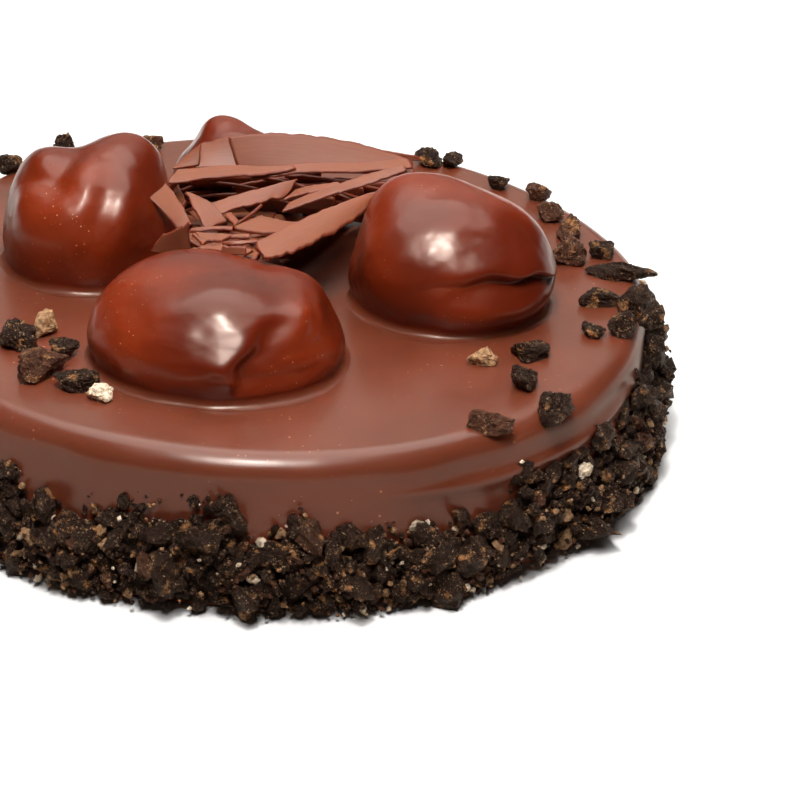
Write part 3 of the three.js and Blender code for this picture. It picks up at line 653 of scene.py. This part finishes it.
def leaf_rings(leaf, seed, rows, faces):
    """A thin leaf between four corners: a flat section with round edges, carried from one end to the other.
    A point is the blend of the corners by its shares along and across, raised by a bow along the leaf, a cup
    across it and a wave, widened in its middle by the belly, with noise at the long edges and the ends to
    make them ragged. Also gives the streak coordinates, and 1 on the broken edges and 0 on the faces."""
    near_a, near_b, far_b, far_a = np.array(leaf["corners"], float)
    u = np.linspace(0, 1, rows)[:, None]
    along, across = near_b + far_b - near_a - far_a, far_a + far_b - near_a - near_b
    length, wide = np.linalg.norm(along) / 2, np.linalg.norm(across) / 2
    along, across = along / (2 * length), across / (2 * wide)
    outward = np.cross(along, across)
    outward /= np.linalg.norm(outward)
    width = np.linalg.norm(far_a + (far_b - far_a) * u - near_a - (near_b - near_a) * u, axis=-1)[:, None]
    rim = np.minimum(LEAF_THICK / 2 / width, 0.3)
    share = np.linspace(0, 1, faces)[None, :]
    share = share - 0.13 * np.sin(2 * np.pi * share)
    edge = np.radians([[60, 20, -20, -60]])
    flat = rim + (1 - 2 * rim) * share
    v = np.concatenate([flat, 1 - rim + rim * np.cos(edge), flat[:, ::-1], rim - rim * np.cos(edge)], 1)
    level = np.ones((1, faces))
    lift = np.concatenate([level, np.sin(edge), -level, -np.sin(edge)], 1)
    near, far, end = leaf["rag"]
    jags = []
    for row in (3.3, 9.7):
        coarse = np.concatenate([u * length / JAG_LONG, 0 * u + row, 0 * u + seed * 1.7], 1)
        fine = np.concatenate([u * length / JAG_SHORT, 0 * u + row, 0 * u + seed * 2.9], 1)
        jags.append(lattice_noise(coarse, 31) + 0.7 * lattice_noise(fine, 32))
    belly = np.array(leaf.get("belly", (0, 0))) * (1 - (2 * u - 1) ** 2)
    aside = ((far * jags[1][:, None] + belly[:, 1:]) * v ** 2
             - (near * jags[0][:, None] + belly[:, :1]) * (1 - v) ** 2)
    tips = np.stack(np.broadcast_arrays(v * wide / TIP_WIDE, np.round(u) * 9.0, seed * 3.3), -1)
    ahead = end * lattice_noise(tips, 33) * (2 * u - 1) ** 9
    rise = (leaf.get("bow", 0) * (1 - (2 * u - 1) ** 2) + leaf.get("cup", 0) * (1 - (2 * v - 1) ** 2)
            + leaf.get("wave", 0) * np.sin(9 * u + seed) + LEAF_THICK / 2 * lift)
    u, v = u[..., None], v[..., None]
    points = (1 - u) * ((1 - v) * near_a + v * far_a) + u * ((1 - v) * near_b + v * far_b)
    points = points + aside[..., None] * across + ahead[..., None] * along + rise[..., None] * outward
    grain = np.stack(np.broadcast_arrays(u[..., 0] * length, v[..., 0] * wide + seed * 20), -1)
    broken = np.concatenate([0 * level, 1 + 0 * edge, 0 * level, 1 + 0 * edge], 1)
    broken = np.maximum(broken, np.abs(2 * u[..., 0] - 1) > END_SHARE)
    return points / 1000, grain, np.repeat(broken[..., None], 3, -1)


def shaving_material(name):
    """Planed milk chocolate: brown with fine streaks along the leaf, darker and redder on its broken edges as
    painted shade and a painted glow of light through the thin edges, slightly waxy, with a low streaked
    relief."""
    material, tree, shader = new_material(name)
    grain = add(tree, "UVMap", {"uv_map": "grain"}).outputs["UV"]
    drawn_out = add(tree, "Mapping", Vector=grain, Scale=(0.12, 2.2, 1)).outputs["Vector"]
    streaks = add(tree, "TexNoise", Vector=drawn_out, Scale=1, Detail=5).outputs["Fac"]
    browns = blend(tree, streaks, screen_colour(124, 68, 46), screen_colour(150, 88, 61))
    broken = add(tree, "Attribute", {"attribute_name": "tint"}).outputs["Fac"]
    # Broken edges painted darker and redder: painted shade and the painted glow of light through the thin
    # chocolate.
    colour = blend(tree, broken, browns, screen_colour(112, 50, 27))
    relief = add(tree, "Bump", Strength=0.2, Distance=0.0002, Height=streaks).outputs["Normal"]
    fill(tree, shader, Base_Color=colour, Normal=relief, Roughness=0.48, Specular_IOR_Level=0.5,
         Subsurface_Weight=0.7, Subsurface_Radius=(1.0, 0.25, 0.08), Subsurface_Scale=0.0015)
    return material


def strewn_leaves(middle, heading, slope, lean, half, wide):
    """Leaves by their middles: half a length ahead along the heading, which climbs by the slope, and half a
    width aside, which rises by the lean for each step sideways."""
    ahead = np.stack([np.cos(heading), np.sin(heading), slope], -1) * half[:, None]
    aside = np.stack([-np.sin(heading), np.cos(heading), lean], -1)
    aside *= (wide / np.linalg.norm(aside, axis=-1))[:, None]
    corners = np.stack([middle - ahead - aside, middle + ahead - aside, middle + ahead + aside,
                        middle - ahead + aside], 1)
    return [dict(corners=four, bow=.5, rag=(.4, .4, .4)) for four in corners]


def lying_pile(count, x, y, reach, heights, random):
    """Leaves lying at random turns, spread evenly over an oval, higher near its middle."""
    turn, far = random.uniform(0, 2 * np.pi, count), np.sqrt(random.uniform(0, 1, count))
    rise = random.uniform(0, 1, count) * (1 - far ** 2)
    middle = np.stack([x + reach[0] * far * np.cos(turn), y + reach[1] * far * np.sin(turn),
                       heights[0] + (heights[1] - heights[0]) * rise], -1)
    return strewn_leaves(middle, random.uniform(0, 2 * np.pi, count), random.uniform(-0.2, 0.2, count),
                         random.uniform(-0.3, 0.3, count), random.uniform(4, 8, count),
                         random.uniform(2.5, 4, count))


def leaning_bank(count, x, y, reach, heights, random):
    """Longer leaves banked up round the back of the heap: each follows a half oval, shorter at its ends, and
    tips towards the oval's middle."""
    turn, far = np.radians(random.uniform(-8, 188, count)), random.uniform(0.8, 1.08, count)
    middle = np.stack([x + reach[0] * far * np.cos(turn), y + reach[1] * far * np.sin(turn),
                       random.uniform(*heights, count)], -1)
    heading = np.arctan2(reach[1] * np.cos(turn), -reach[0] * np.sin(turn))
    heading = heading + random.uniform(-0.35, 0.35, count)
    half = (5 + 8 * np.abs(np.sin(turn))) * random.uniform(0.7, 1.2, count)
    return strewn_leaves(middle, heading, random.uniform(-0.15, 0.15, count), random.uniform(0.5, 2.2, count),
                         half, random.uniform(2.8, 4.6, count))


dice = np.random.default_rng(47)
buried = (lying_pile(44, -13, 23, (14, 10), (42, 47), dice) + lying_pile(44, -9, -8, (13, 10), (42, 55), dice)
          + leaning_bank(72, 3, 25, (33, 11), (43.5, 51), dice))
shaving = shaving_material("milk_chocolate_shaving")
for kind, heap, rows, faces in [("shavings", LEAVES, 60, 13),
                                ("buried_shavings", buried, 20, 7)]:
    leaves, grains, edges = zip(*(leaf_rings(leaf, seed, rows, faces) for seed, leaf in enumerate(heap)))
    shavings = closed_skin(kind, np.stack(leaves), shaving, tints=np.stack(edges), grain_uv=np.stack(grains))
    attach(shavings, "root")
    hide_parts("chocolate_shavings")


# The studio: a pale floor, a white backdrop behind the cake, a wide dim light overhead, and a softbox with a
# small lamp above the camera. The camera looks down at the cake through a long lens.

FLOOR_RADIUS, FLOOR_SIDES = 6, 96
floor_paint, paint, gloss = new_material("pale_floor")
spot = add(paint, "TexCoord").outputs["Object"]
depth = add(paint, "SeparateXYZ", Vector=spot).outputs["Y"]
# For all rays but the camera's, the floor's colour runs from near black in front of the cake to pale at the
# back; the camera sees an even pale white.
table = add(paint, "ValToRGB", Fac=span(paint, depth, -0.5, 0.5))
stops = table.color_ramp.elements
stops[0].position, stops[0].color = 0.12, (0.03, 0.025, 0.02, 1)
stops[1].position, stops[1].color = 0.72, (0.90, 0.86, 0.80, 1)
for place in (0.26, 0.58):
    stops.new(place).color = (0.50, 0.45, 0.40, 1)
seen = add(paint, "LightPath").outputs["Is Camera Ray"]
tone = blend(paint, seen, table.outputs["Color"], (0.95, 0.95, 0.95, 1))
away = add(paint, "VectorMath", {"operation": "LENGTH"}, Vector=spot).outputs["Value"]
blank = span(paint, away, 0.12, 0.60, ease="SMOOTHSTEP")
# Painted light: for all rays but the camera's the floor glows at the back, and the glaze and puffs reflect
# this glow at their edges.
painted_glow_behind = span(paint, depth, 0.12, 0.40, high=0.7, ease="SMOOTHSTEP")
fill(paint, gloss, Base_Color=tone, Roughness=0.7, Specular_IOR_Level=0.2, Emission_Color=(1, 1, 1, 1),
     Emission_Strength=blend(paint, seen, painted_glow_behind, blank, kind="FLOAT"))
floor_mesh = bpy.data.meshes.new("floor")
floor_turn = np.linspace(0, 2 * np.pi, FLOOR_SIDES, endpoint=False)
floor_mesh.from_pydata(FLOOR_RADIUS * np.stack([np.cos(floor_turn), np.sin(floor_turn), 0 * floor_turn], -1),
                       [], [list(range(FLOOR_SIDES))])
floor = placed("floor", floor_mesh, floor_paint)

world = bpy.data.worlds.new("studio")
world.use_nodes = True
bpy.context.scene.world = world
sky = world.node_tree
facing = add(sky, "TexCoord").outputs["Generated"]
glows = []
for towards, dim, bright, peak in [((0, 0.79, 0.62), 0.80, 0.98, 0.75), ((0, 0, 1), 0.76, 0.95, 0.10)]:
    side = add(sky, "VectorMath", {"operation": "DOT_PRODUCT"}, Vector=facing)
    side.inputs[1].default_value = towards
    glows.append(span(sky, side.outputs["Value"], dim, bright, 0.01, peak, ease="SMOOTHSTEP"))
seen = add(sky, "LightPath").outputs["Is Camera Ray"]
fill(sky, sky.nodes["Background"].inputs, Color=(1, 0.96, 0.86, 1),
     Strength=blend(sky, seen, combine(sky, "ADD", *glows), 0.95, kind="FLOAT"))

lights = []
for name, side, power, place in [("overhead", (1.0, 0.8), 6.1, (0, 0.16, 0.80)),
                                 ("softbox", (0.24, 0.46), 5.5, (-0.02, -0.43, 0.755)),
                                 ("lamp", (0.08, 0.12), 2.4, (-0.02, -0.33, 0.78))]:
    light = bpy.data.lights.new(name, "AREA")
    light.shape = "ELLIPSE"
    light.size, light.size_y = side
    light.energy = power
    light.color = (1, 0.98, 0.96)
    lights.append(bpy.data.objects.new(name, light))
    lights[-1].location = place
    bpy.context.scene.collection.objects.link(lights[-1])

PAN, TILT, ROLL = np.radians([2.22, 27.36, 2.68])
sight = np.array([math.sin(PAN) * math.cos(TILT), math.cos(PAN) * math.cos(TILT), -math.sin(TILT)])
level = np.array([math.cos(PAN), -math.sin(PAN), 0])
upright = np.cross(level, sight)
right = level * math.cos(ROLL) + upright * math.sin(ROLL)
above = upright * math.cos(ROLL) - level * math.sin(ROLL)


def aim(thing, ahead, right, above):
    """Turns a camera or light so that it looks ahead, with the given right and upward directions."""
    turned = np.eye(4)
    turned[:3, 0], turned[:3, 1], turned[:3, 2] = right, above, -ahead
    turned[:3, 3] = thing.location
    thing.matrix_world = Matrix(turned.tolist())


lens = bpy.data.cameras.new("camera")
lens.lens = 180
lens.sensor_width = 36
lens.clip_start = 0.01
camera = bpy.data.objects.new("camera", lens)
camera.location = (0, -0.911, 0.479)
bpy.context.scene.collection.objects.link(camera)
aim(camera, sight, right, above)
bpy.context.scene.camera = camera

LIT_POINT = np.array([0, 0, 0.05])
for light in lights:
    beam = LIT_POINT - np.array(light.location)
    beam /= np.linalg.norm(beam)
    beam_right = np.cross(beam, [0, 0, 1])
    beam_right /= np.linalg.norm(beam_right)
    aim(light, beam, beam_right, np.cross(beam_right, beam))

bpy.context.scene.view_settings.view_transform = "Standard"
bpy.context.scene.view_settings.look = "None"
